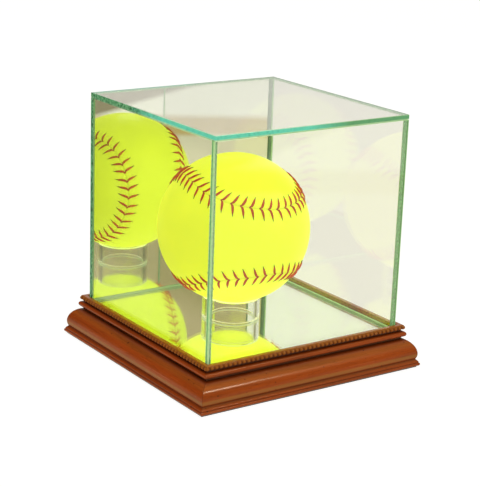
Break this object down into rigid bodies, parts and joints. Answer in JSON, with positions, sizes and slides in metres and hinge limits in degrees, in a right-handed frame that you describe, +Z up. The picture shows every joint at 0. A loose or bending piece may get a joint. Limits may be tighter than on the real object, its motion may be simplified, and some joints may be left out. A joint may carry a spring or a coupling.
{
  "type": "softball display case",
  "caption": "Glass display case for one softball: mitred wooden base, mirror floor and back, lift-off glass cover and a clear ring stand that holds the ball.",
  "frame": {"origin": "middle of the underside, where the felt rests on the table", "axes": "+Z up; -Y out of the front pane; the mirror pane is at +Y"},
  "size_m": [0.17, 0.17, 0.1659],
  "materials": {
    "stained_wood": "cherry stain under satin lacquer",
    "plywood": "bare birch plywood",
    "nail_steel": "plain steel",
    "foam_tape": "closed-cell foam with adhesive on both faces",
    "mirror_silver": "silvering under grey protective paint",
    "float_glass": "clear float glass with seamed green edges",
    "clear_adhesive": "cured clear adhesive",
    "clear_acrylic": "clear cast acrylic, sawn and polished",
    "felt": "pressed felt",
    "ball_core": "pressed fibre core",
    "ball_cover": "optic yellow synthetic leather",
    "red_thread": "waxed cotton thread"
  },
  "bodies": {
    "base": {"front_rail": "stained_wood", "back_rail": "stained_wood", "left_rail": "stained_wood", "right_rail": "stained_wood", "v_nails": "nail_steel", "base_board": "plywood", "mirror_tape": "foam_tape", "floor_mirror_silver": "mirror_silver", "floor_mirror_glass": "float_glass", "felt_sheet": "felt"},
    "cover": {"front_glass": "float_glass", "back_mirror_glass": "float_glass", "back_mirror_silver": "mirror_silver", "left_glass": "float_glass", "right_glass": "float_glass", "top_glass": "float_glass", "corner_adhesive": "clear_adhesive", "lid_adhesive": "clear_adhesive"},
    "stand": {"ball_stand": "clear_acrylic"},
    "ball": {"ball_core": "ball_core", "ball_panel_level": "ball_cover", "ball_panel_upright": "ball_cover", "stitch_thread": "red_thread"}
  },
  "joints": [
    {"name": "cover_lift", "type": "slide", "parent": "base", "child": "cover", "axis": [0, 0, 1], "range_m": [0, 0.14]},
    {"name": "stand_turn", "type": "hinge", "parent": "base", "child": "stand", "pos_m": [-0.0055, 0.0021, 0.0249], "axis": [0, 0, 1], "continuous": true},
    {"name": "ball_lift", "type": "slide", "parent": "stand", "child": "ball", "axis": [0, 0, 1], "range_m": [0, 0.027]}
  ]
}
